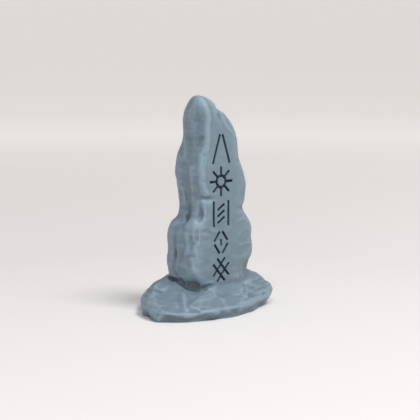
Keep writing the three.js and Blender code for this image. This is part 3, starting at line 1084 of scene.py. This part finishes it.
@dataclass
class RockRelief:
    """The small relief of the rock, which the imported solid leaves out.

    Lengths are in mm. A field named a range holds the two values between which a soft step rises.

    Attributes:
        chip_share: How many of the chips there are on the side that the photograph shows.
        stone_strata_share: How much of the layers the stone has; the mound has all.
        stone_slab_shares: How much of the slabs the stone has on the shown side and on its lee.
        lee: The way that the lee faces.
        level_range: How far up a surface faces where it turns from steep to level.
        lip_height: How far the rim stands out above its undercut.
        wear_fade: How much of the front's wear is gone above its range.
        panel_share: How much of the rock's relief the flat front keeps.
        panel_start: How far behind the front the flat part may lie.
    """

    chips: Grain = Flakes((7.0, 7.0, 10.0), 40)
    chip_depth: float = 0.7
    chip_share: float = 0.35
    grit: Grain = Grain((2.4, 2.4, 1.7), 60, 7.0)
    grit_depth: float = 0.06
    strata: Grain = Grain((13.0, 13.0, 2.6), 80, 10.0)
    strata_depth: float = 0.45
    stone_strata_share: float = 0.25
    slabs: Grain = Flakes((17.0, 15.0, 13.0), 120)
    slab_depth: float = 2.0
    stone_slab_shares: tuple[float, float] = (0.2, 0.7)
    lee: tuple[float, float, float] = (0.64, 0.77, 0.0)
    lee_range: tuple[float, float] = (-0.2, 0.6)
    level_range: tuple[float, float] = (0.8, 0.97)
    mound_top_range: tuple[float, float] = (16.0, 21.0)
    crevice_depth: float = 2.8
    crevice_side_range: tuple[float, float] = (3.0, 10.0)
    crevice_bend_range: tuple[float, float] = (0.8, 1.8)
    rim_wave: Grain = Grain((11.0, 11.0, 14.0), 140, 9.0)
    rim_wave_depth: float = 0.8
    rim_undercut: float = 2.6
    rim_range: tuple[float, float] = (0.0, 8.0)
    lip_height: float = 0.5
    lip_start_range: tuple[float, float] = (2.4, 6.4)
    lip_end_range: tuple[float, float] = (8.0, 14.0)
    wear: Grain = Grain((9.0, 20.0, 5.0), 100, 7.0)
    wear_depth: float = 0.3
    wear_fade: float = 0.75
    wear_fade_range: tuple[float, float] = (55.0, 75.0)
    panel_share: float = 0.1
    panel_facing_range: tuple[float, float] = (0.9, 0.985)
    panel_start: float = 2.2
    panel_start_range: tuple[float, float] = (0.0, 1.4)
    panel_foot_range: tuple[float, float] = (17.0, 21.0)
    stone_dents: tuple[Hollow, ...] = (
        Hollow((-0.32, -0.27, 0.963), (0.07, 0.14, 0.032), -1.1),  # swell of the knob
        Hollow((-0.275, -0.37, 0.812), (0.032, 0.09, 0.009), 1.0),  # pit by the knob's ridge
        Hollow((-0.351, 0.114, 0.537), (0.08, 0.035, 0.018), 1.5),  # slit above the left valley
        Hollow((-0.36, 0.06, 0.485), (0.1, 0.12, 0.03), 0.9),  # top of the left valley
        Hollow((-0.336, -0.415, 0.462), (0.07, 0.075, 0.034), 2.2),  # pocket in the chamfer
        Hollow((-0.238, -0.469, 0.532), (0.08, 0.12, 0.006), 1.2),  # end of the ledge crack
        Hollow((-0.484, -0.311, 0.361), (0.035, 0.06, 0.01), 0.3),  # nick in the lit ridge
        Hollow((-0.38, -0.33, 0.424), (0.1, 0.14, 0.018), -0.9),  # swell below the pocket
        Hollow((-0.45, -0.4, 0.2), (0.07, 0.1, 0.024), -0.5),  # swell above the left foot
        Hollow((-0.299, -0.487, 0.386), (0.06, 0.1, 0.006), 0.5),  # upper scratch
        Hollow((-0.299, -0.49, 0.349), (0.05, 0.1, 0.006), 0.5),  # lower scratch
        Hollow((-0.524, 0.093, 0.176), (0.05, 0.05, 0.01), 1.0),  # pit low on the left
        Hollow((-0.507, -0.018, 0.155), (0.06, 0.06, 0.012), 1.4),  # pit above the left foot
        Hollow((-0.44, -0.38, 0.126), (0.15, 0.24, 0.03), 3.2),  # under the left foot
        Hollow((0.346, -0.36, 0.477), (0.1, 0.2, 0.012), 1.2),  # crease on the right
    )
    crests: tuple[Crest, ...] = (
        Crest((  # ridge of the knob
            (-11.3, -13.6, 142.3), (-9.8, -15.5, 135.6), (-10.5, -15.3, 130.2), (-10.5, -15.3, 125.5),
            (-11.2, -15.1, 114.6), (-13.8, -13.4, 110.6), (-14.9, -14.2, 105.2), (-15.5, -14.4, 101.2),
            (-15.0, -14.8, 96.4), (-15.1, -13.9, 91.6), (-13.2, -14.8, 86.7), (-11.7, -15.1, 83.2),
        ), 3.2, 0.75),
        Crest((  # edge of the front
            (-13.6, -14.2, 78.5), (-13.3, -14.9, 73.7), (-12.7, -15.2, 70.3), (-13.6, -15.2, 65.5),
        ), 2.2, 0.6),
        Crest((  # chamfer
            (-18.4, -11.4, 63.5), (-20.2, -12.6, 59.0), (-20.5, -12.3, 55.5), (-20.2, -13.0, 51.4),
            (-18.5, -14.7, 49.4), (-20.3, -13.8, 47.4), (-20.6, -14.1, 44.0),
        ), 2.6, 0.5),
        Crest((  # low on the chamfer
            (-22.3, -12.9, 38.5), (-22.1, -13.7, 34.4), (-21.7, -14.3, 30.3),
        ), 2.8, 0.5),
        Crest((  # shoulder
            (3.1, -14.5, 135.1), (5.8, -15.5, 129.6), (10.7, -15.2, 125.3), (16.2, -14.1, 120.1),
        ), 2.0, 0.3),
        Crest((  # crease of the mound
            (-29.3, -12.3, 16.6), (-34.4, -19.9, 12.3), (-38.4, -26.0, 8.5),
        ), 3.5, 0.75),
    )

    def deep(self, rock: Surface, stone: StandingStone) -> np.ndarray:
        """Works out how far the dents, the crevice and the undercut rim move each point along its normal.

        Args:
            rock: The rock's surface.
            stone: The stone that the dents are placed on.

        Returns:
            One height in mm for each point.
        """
        x, _, z = rock.points.T
        steep = 1.0 - ramp(rock.normals[:, 2], *self.level_range)
        rim = (1.0 - ramp(z, *self.rim_range)) * steep
        lip = ramp(z, *self.lip_start_range) * (1.0 - ramp(z, *self.lip_end_range))
        height = rim * (self.rim_wave_depth * self.rim_wave.height(rock.points) - self.rim_undercut)
        height += steep * self.lip_height * lip
        crevice = ramp(-x, *self.crevice_side_range) * ramp(-rock.bends, *self.crevice_bend_range)
        height -= self.crevice_depth * crevice
        shares = (rock.points - [stone.set_x, stone.set_y, 0.0]) / stone.size
        return height - hollow_depth(shares, self.stone_dents)

    def fine(self, rock: Surface, stone: StandingStone) -> np.ndarray:
        """Works out how far flakes, layers, grit, wear and crests move each point along its normal.

        Args:
            rock: The rock's surface.
            stone: The stone, whose flat front stays nearly flat.

        Returns:
            One height in mm for each point.
        """
        points, normals = rock.points, rock.normals
        y, z = points[:, 1], points[:, 2]
        flat = ramp(-normals[:, 1], *self.panel_facing_range) * ramp(z, *self.panel_foot_range)
        flat *= ramp(stone.front + self.panel_start - y, *self.panel_start_range)
        rough = 1.0 - (1.0 - self.panel_share) * flat
        mound = 1.0 - ramp(z, *self.mound_top_range)
        steep = 1.0 - ramp(normals[:, 2], *self.level_range)
        worn = flat * (1.0 - self.wear_fade * ramp(z, *self.wear_fade_range))
        shown, behind = self.stone_slab_shares
        lee = shown + (behind - shown) * ramp(normals @ self.lee, *self.lee_range)
        height = rough * (self.chip_share + lee) * self.chip_depth * self.chips.height(points)
        height += rough * self.grit_depth * self.grit.height(points)
        layered = mound * steep + self.stone_strata_share * rough * (1.0 - mound)
        height += layered * self.strata_depth * self.strata.height(points)
        slabs = mound + lee * rough * (1.0 - mound)
        height += slabs * self.slab_depth * self.slabs.height(points)
        height += worn * self.wear_depth * self.wear.height(points)
        return height + sum(crest.rise(points, normals) for crest in self.crests)


@dataclass(frozen=True)
class PrintedPlastic:
    """The blue-grey plastic of the print: matte, with soft mottling, painted highlights on edges, painted
    shade in hollows and strokes, and fine layers.

    Colours are linear. A noise is its scale per metre, its detail and its roughness. A pair is for the
    broad and the fine noise.

    Attributes:
        colour: The plastic itself.
        worn: The painted highlight that edges go towards, standing in for the sheen of light on them.
        deep: The plastic's darker mottles, and the painted shade in hollows and at the mound's foot.
        stroke_shade: The painted shade inside the strokes, which are cut in the plastic itself.
        mottle_share: How much of the mottling shows.
        hollow_shade_share: How far hollows and the mound's foot go towards the deep colour, as painted
            shade.
        edge_highlight_share: How far edges go towards the painted highlight.
        layer: How tall one print layer is, in metres.
        layer_wobble: How far the layers wander up and down, in metres.
    """

    colour: tuple[float, ...] = (0.212, 0.294, 0.345, 1.0)
    # painted highlight: lighter colour on edges, standing in for the sheen of light on them
    worn: tuple[float, ...] = (0.28, 0.38, 0.455, 1.0)
    # the plastic's darker mottles, and painted shade in hollows and at the mound's foot
    deep: tuple[float, ...] = (0.12, 0.165, 0.2, 1.0)
    # painted shade: dark colour inside the cut strokes, where little light reaches
    stroke_shade: tuple[float, ...] = (0.025, 0.05, 0.085, 1.0)
    broad_noise: tuple[float, float, float] = (45.0, 3.0, 0.55)
    fine_noise: tuple[float, float, float] = (420.0, 3.0, 0.6)
    grain_noise: tuple[float, float, float] = (1500.0, 3.0, 0.65)
    wobble_noise: tuple[float, float, float] = (60.0, 1.0, 0.5)
    mottle_share: float = 0.55
    hollow_shade_share: float = 0.6
    edge_highlight_share: float = 0.6
    mottle_lows: tuple[float, float] = (0.35, 0.5)
    mottle_gains: tuple[float, float] = (0.9, 0.35)
    roughness: float = 0.55
    roughness_gains: tuple[float, float] = (0.14, 0.08)
    edge_gloss: float = 0.06
    refraction: float = 1.46
    layer: float = 0.00028
    layer_wobble: float = 0.00006
    layer_height: float = 0.00004
    layer_bump: float = 0.1
    grain_height: float = 0.0001
    grain_bump: float = 0.25

    def build(self) -> bpy.types.Material:
        """Builds the material.

        Returns:
            The material, which reads the piece's painted highlight and shade and the painted shade in its
            strokes.
        """
        shader = Shader("printed blue-grey plastic")
        place = shader.node("ShaderNodeTexCoord").outputs["Object"]
        # above 0 a painted highlight on edges, below 0 painted shade in hollows and at the mound's foot
        painted_light_and_shade = shader.attribute("painted_light_and_shade")
        # where the painted shade inside the strokes goes
        stroke_shade = shader.attribute("stroke_shade")
        broad = shader.noise(place, *self.broad_noise)
        fine = shader.noise(place, *self.fine_noise)
        # where the painted highlight on edges goes
        highlight_mask = painted_light_and_shade.limited()
        # where the painted shade goes: hollows and the mound's foot
        hollow = (painted_light_and_shade * -1.0).limited()
        (broad_low, fine_low), (broad_gain, fine_gain) = self.mottle_lows, self.mottle_gains
        mottle = ((broad - broad_low) * broad_gain + (fine - fine_low) * fine_gain).limited()
        base = shader.mix(self.mottle_share, self.colour, shader.mix(mottle, self.deep, self.colour))
        # painted shade in hollows and at the mound's foot
        dark = shader.mix((hollow * self.hollow_shade_share).limited(), base, self.deep)
        # painted highlight on edges
        light = shader.mix((highlight_mask * self.edge_highlight_share).limited(), dark, self.worn)
        split = shader.node("ShaderNodeSeparateXYZ", Vector=place)
        wobble = shader.noise(place, *self.wobble_noise)
        height = shader.value(split.outputs["Z"]) + wobble * self.layer_wobble
        turn = height * (2.0 * math.pi / self.layer)
        layered = shader.node("ShaderNodeBump", Strength=self.layer_bump, Distance=self.layer_height,
                              Height=turn.math("SINE", turn))
        bump = shader.node("ShaderNodeBump", Strength=self.grain_bump, Distance=self.grain_height,
                           Height=shader.noise(place, *self.grain_noise), Normal=layered.outputs["Normal"])
        broad_rough, fine_rough = self.roughness_gains
        rough = self.roughness + (broad - 0.5) * broad_rough + (fine - 0.5) * fine_rough
        # the painted shade inside the strokes over the rest of the colour
        return shader.finished(Base_Color=shader.mix(stroke_shade, light, self.stroke_shade),
                               Roughness=rough - highlight_mask * self.edge_gloss, IOR=self.refraction,
                               Normal=bump.outputs["Normal"])


@dataclass
class Runestone:
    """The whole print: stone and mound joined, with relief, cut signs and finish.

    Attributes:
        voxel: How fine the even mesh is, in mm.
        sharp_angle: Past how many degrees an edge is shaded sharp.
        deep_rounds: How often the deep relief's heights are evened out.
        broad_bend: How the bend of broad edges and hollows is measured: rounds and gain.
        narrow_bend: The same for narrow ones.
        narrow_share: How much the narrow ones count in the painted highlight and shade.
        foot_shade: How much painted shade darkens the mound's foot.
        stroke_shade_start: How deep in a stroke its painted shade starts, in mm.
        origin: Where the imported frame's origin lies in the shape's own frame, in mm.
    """

    stone: StandingStone = field(default_factory=StandingStone)
    mound: RockMound = field(default_factory=RockMound)
    signs: CutSigns = field(default_factory=CutSigns)
    relief: RockRelief = field(default_factory=RockRelief)
    finish: PrintedPlastic = field(default_factory=PrintedPlastic)
    voxel: float = 0.62
    sharp_angle: float = 42.0
    deep_rounds: int = 2
    broad_bend: tuple[int, float] = (24, 4.0)
    narrow_bend: tuple[int, float] = (7, 9.0)
    narrow_share: float = 0.65
    foot_shade: float = 0.7
    foot_shade_range: tuple[float, float] = (3.0, 9.0)
    stroke_shade_start: float = 0.7
    origin: tuple[float, float, float] = (0.14, -0.585, 0.0)

    def even(self, made: bpy.types.Object) -> bpy.types.Object:
        """Gives a closed piece one even mesh, which also heals places where it crosses itself."""
        act = made.modifiers.new("even mesh", "REMESH")
        act.mode = "VOXEL"
        act.voxel_size = self.voxel
        return baked(made)

    def moved(
        self, made: bpy.types.Object, height: Callable[[Surface, StandingStone], np.ndarray], rounds: int
    ) -> bpy.types.Object:
        """Moves the rock's points along their normals.

        Args:
            made: The rock, in mm.
            height: Works out how far, from the rock's surface and the stone.
            rounds: How often the heights are evened out first.

        Returns:
            The same object.
        """
        mesh = made.data
        rock = Surface(points_of(mesh), normals_of(mesh), self.bend(mesh, *self.broad_bend))
        heights = spread(mesh, height(rock, self.stone)[:, None], rounds)
        set_points(mesh, rock.points + rock.normals * heights)
        return made

    def rock(self) -> bpy.types.Object:
        """Joins stone and mound and gives them all their relief.

        Returns:
            The rock in mm, still going on below the ground.
        """
        made = self.even(combined(self.stone.build(), self.mound.build(), Cut.JOIN))
        made = self.even(self.moved(made, self.relief.deep, self.deep_rounds))
        LOG.info("rock: %d points before the cuts", len(made.data.vertices))
        return self.moved(made, self.relief.fine, 0)

    def grounded(self, made: bpy.types.Object) -> bpy.types.Object:
        """Cuts the rock off flat at the ground.

        Args:
            made: The rock, in mm.

        Returns:
            The rock with a flat underside at z = 0.
        """
        half = 4.0 * self.mound.length
        corners = np.array([[x, y, z] for x in (-half, half) for y in (-half, half) for z in (0.0, half)])
        faces = [(0, 1, 3, 2), (4, 6, 7, 5), (0, 4, 5, 1), (2, 3, 7, 6), (0, 2, 6, 4), (1, 5, 7, 3)]
        return combined(made, new_object("above ground", corners, faces), Cut.KEEP)

    @staticmethod
    def bend(mesh: bpy.types.Mesh, rounds: int, gain: float) -> np.ndarray:
        """Measures how far each point stands out of the surface round it.

        Args:
            mesh: The rock's mesh, in mm.
            rounds: How often the surface is evened out, which sets how far round is looked.
            gain: What the distance in mm is multiplied by.

        Returns:
            One number a point: above 0 on edges and below 0 in hollows, at about 1 on strong ones.
        """
        points = points_of(mesh)
        off = points - spread(mesh, points, rounds)
        return (off * normals_of(mesh)).sum(axis=1) * gain

    def build(self) -> bpy.types.Object:
        """Builds the finished piece.

        Returns:
            The print as one object in metres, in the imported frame.
        """
        material = self.finish.build()
        made = self.grounded(self.rock())
        # these edges and hollows give the painted highlight and the painted shade
        broad, narrow = (self.bend(made.data, *kind) for kind in (self.broad_bend, self.narrow_bend))
        bends = broad + self.narrow_share * (narrow - broad)
        tree = kdtree.KDTree(len(bends))
        for number, point in enumerate(points_of(made.data)):
            tree.insert(point, number)
        tree.balance()
        mesh = self.carved(made, material)
        self.shade(mesh, np.array([bends[tree.find(point)[1]] for point in points_of(mesh)]))
        self.settle(mesh)
        mesh.shade_smooth()
        mesh.set_sharp_from_angle(angle=math.radians(self.sharp_angle))
        mesh.materials.clear()
        mesh.materials.append(material)
        made.name = "runestone-print"
        mesh.name = made.name
        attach(made, BODY)
        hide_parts(NODE)
        return made

    def carved(self, made: bpy.types.Object, material: bpy.types.Material) -> bpy.types.Mesh:
        """Cuts the signs.

        Args:
            made: The rock, in mm.
            material: The finish of what is cut.

        Returns:
            The rock's mesh with the signs in it.
        """
        height, front = self.stone.total_height, self.stone.front
        cutter = self.signs.bars(height, front, material)
        for tube in self.signs.tubes(height, front):
            combined(cutter, tube, Cut.JOIN, crossing=True)
        combined(made, cutter, Cut.REMOVE)
        return made.data

    def shade(self, mesh: bpy.types.Mesh, bends: np.ndarray) -> None:
        """Stores what the finish reads: painted highlight on edges, and painted shade in hollows, at the
        mound's foot and inside the strokes.

        Args:
            mesh: The print's mesh, in mm.
            bends: How far each point stands out of the rock round it, as before the strokes were cut.
        """
        points = points_of(mesh)
        # painted highlight on edges, painted shade in hollows, and painted shade darkening the mound's foot
        painted_light_and_shade = bends - self.foot_shade * (1.0 - ramp(points[:, 2], *self.foot_shade_range))
        # painted shade inside the strokes, from a little below the front down to their floor
        stroke_shade = ramp(points[:, 1] - self.stone.front, self.stroke_shade_start, self.signs.stroke_depth)
        stroke_shade *= self.signs.covers(points, self.stone.total_height, self.stone.front)
        set_attribute(mesh, "painted_light_and_shade", np.clip(painted_light_and_shade, -1.0, 1.0))
        set_attribute(mesh, "stroke_shade", stroke_shade)

    def settle(self, mesh: bpy.types.Mesh) -> None:
        """Moves the mesh from the shape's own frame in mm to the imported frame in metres.

        Args:
            mesh: The print's mesh.
        """
        low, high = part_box(NODE)
        points = (points_of(mesh) - self.origin) * MM
        set_points(mesh, np.clip(points, np.array(low), np.array(high)))


@dataclass(frozen=True)
class Lamp:
    """A soft lamp: its name, place and size in metres, power in watts, shape and tint."""

    name: str
    place: tuple[float, float, float]
    size: float
    power: float
    shape: LightShape
    tint: tuple[float, float, float]


@dataclass
class Studio:
    """The plain pale floor, its far rim, the soft lamps and the camera at the photograph's angle.

    Lengths are in metres. The floor glows a little far from the print, so that it stays even to the edge.

    Attributes:
        inner_radius: Where the floor's first ring of points is.
        glow_from: How far from the print the glow starts.
        glow_to: How far from it the glow is full.
        focal_px: The camera's focal length in pixels of the photograph.
        frame_px: The photograph's width in pixels.
        heading: How far round from straight ahead the camera looks, in degrees.
        dip: How far down it looks, in degrees.
        lit_place: What the lamps point at.
    """

    inner_radius: float = 0.3
    floor_radius: float = 3.0
    rim_radius: float = 7.0
    rim_height: float = 1.3
    rim_steps: int = 12
    sectors: int = 96
    pale: tuple[float, ...] = (0.87, 0.835, 0.81, 1.0)
    paper_roughness: float = 0.9
    glow: float = 0.45
    glow_from: float = 0.25
    glow_to: float = 1.8
    world: tuple[float, ...] = (0.92, 0.9, 0.89, 1.0)
    world_strength: float = 0.36
    focal_px: float = 1300.0
    frame_px: float = 420.0
    sensor_mm: float = 36.0
    clip: tuple[float, float] = (0.01, 50.0)
    camera_place: tuple[float, float, float] = (-0.5755, -0.6908, 0.1833)
    heading: float = 40.0
    dip: float = 7.19
    lit_place: tuple[float, float, float] = (0.0, 0.0, 0.06)
    lamps: tuple[Lamp, ...] = (
        Lamp("key lamp", (0.2, -0.95, 1.65), 0.7, 23.0, LightShape.PANEL, (1.0, 1.0, 1.0)),
        Lamp("fill lamp", (-0.95, -0.75, 1.5), 0.5, 7.5, LightShape.ROUND, (0.9, 0.97, 1.12)),
    )

    def floor(self) -> bpy.types.Object:
        """Builds the floor, a wide bowl with the same look from every side.

        Returns:
            The floor's object.
        """
        wide = self.rim_radius - self.floor_radius
        profile = [(self.inner_radius, 0.0), (self.floor_radius, 0.0)]
        profile += [(self.floor_radius + wide * math.sin(a), self.rim_height * (1 - math.cos(a)))
                    for a in np.linspace(0.0, math.pi / 2, self.rim_steps)[1:]]
        turns = turns_of(self.sectors)
        points = [[0.0, 0.0, 0.0]]
        points += [[radius * math.cos(a), radius * math.sin(a), height]
                   for radius, height in profile for a in turns]
        around = [(s, (s + 1) % self.sectors) for s in range(self.sectors)]
        starts = [1 + ring * self.sectors for ring in range(len(profile))]
        faces = [(0, 1 + s, 1 + t) for s, t in around]
        faces += [(low + s, high + s, high + t, low + t)
                  for low, high in zip(starts, starts[1:]) for s, t in around]
        made = new_object("studio-floor", np.array(points), faces)
        made.data.shade_smooth()
        made.data.materials.append(self.paper())
        return made

    def paper(self) -> bpy.types.Material:
        """Builds the floor's material.

        Returns:
            A matte pale material that glows more with the distance from the middle.
        """
        shader = Shader("pale paper")
        place = shader.node("ShaderNodeTexCoord").outputs["Object"]
        length = shader.node("ShaderNodeVectorMath", {"operation": "LENGTH"}, Vector=place)
        away = shader.value(length.outputs["Value"])
        share = ((away - self.glow_from) * (1.0 / (self.glow_to - self.glow_from))).limited()
        glow = shader.mix(share, (0.0, 0.0, 0.0, 1.0), self.pale)
        return shader.finished(Base_Color=self.pale, Roughness=self.paper_roughness, Emission_Color=glow,
                               Emission_Strength=self.glow)

    def light(self) -> None:
        """Sets the lamps and the soft light all round."""
        for lamp in self.lamps:
            data = bpy.data.lights.new(lamp.name, "AREA")
            data.shape = lamp.shape.value
            data.size = lamp.size
            if lamp.shape is LightShape.PANEL:
                data.size_y = lamp.size
            data.energy = lamp.power
            data.color = lamp.tint
            made = bpy.data.objects.new(lamp.name, data)
            made.location = lamp.place
            ahead = Vector(self.lit_place) - Vector(lamp.place)
            made.rotation_euler = ahead.to_track_quat("-Z", "Y").to_euler()
            bpy.context.scene.collection.objects.link(made)
        world = bpy.data.worlds.new("soft light")
        world.use_nodes = True
        around = world.node_tree.nodes["Background"]
        around.inputs["Color"].default_value = self.world
        around.inputs["Strength"].default_value = self.world_strength
        bpy.context.scene.world = world
        bpy.context.scene.view_settings.view_transform = "Standard"

    def camera(self) -> bpy.types.Object:
        """Sets the camera at the photograph's angle.

        Returns:
            The camera's object.
        """
        data = bpy.data.cameras.new("photo camera")
        data.sensor_width = self.sensor_mm
        data.lens = self.focal_px / self.frame_px * self.sensor_mm
        data.clip_start, data.clip_end = self.clip
        made = bpy.data.objects.new("photo camera", data)
        yaw, pitch = math.radians(self.heading), math.radians(self.dip)
        ahead = Vector((math.sin(yaw) * math.cos(pitch), math.cos(yaw) * math.cos(pitch), -math.sin(pitch)))
        right = Vector((math.cos(yaw), -math.sin(yaw), 0.0))
        axes = Matrix((right, right.cross(ahead), -ahead)).transposed()
        made.matrix_world = Matrix.Translation(self.camera_place) @ axes.to_4x4()
        bpy.context.scene.collection.objects.link(made)
        bpy.context.scene.camera = made
        return made

    def build(self) -> None:
        """Builds floor, lamps and camera."""
        self.floor()
        self.light()
        self.camera()


def main() -> None:
    """Builds the print and its studio."""
    logging.basicConfig(level=logging.INFO, format="%(name)s: %(message)s", stream=sys.stdout)
    made = Runestone().build()
    LOG.info("%s: %d faces", made.name, len(made.data.polygons))
    Studio().build()
    LOG.info("studio: floor, lamps and camera")
    bpy.context.view_layer.update()


if __name__ == "__main__":
    main()
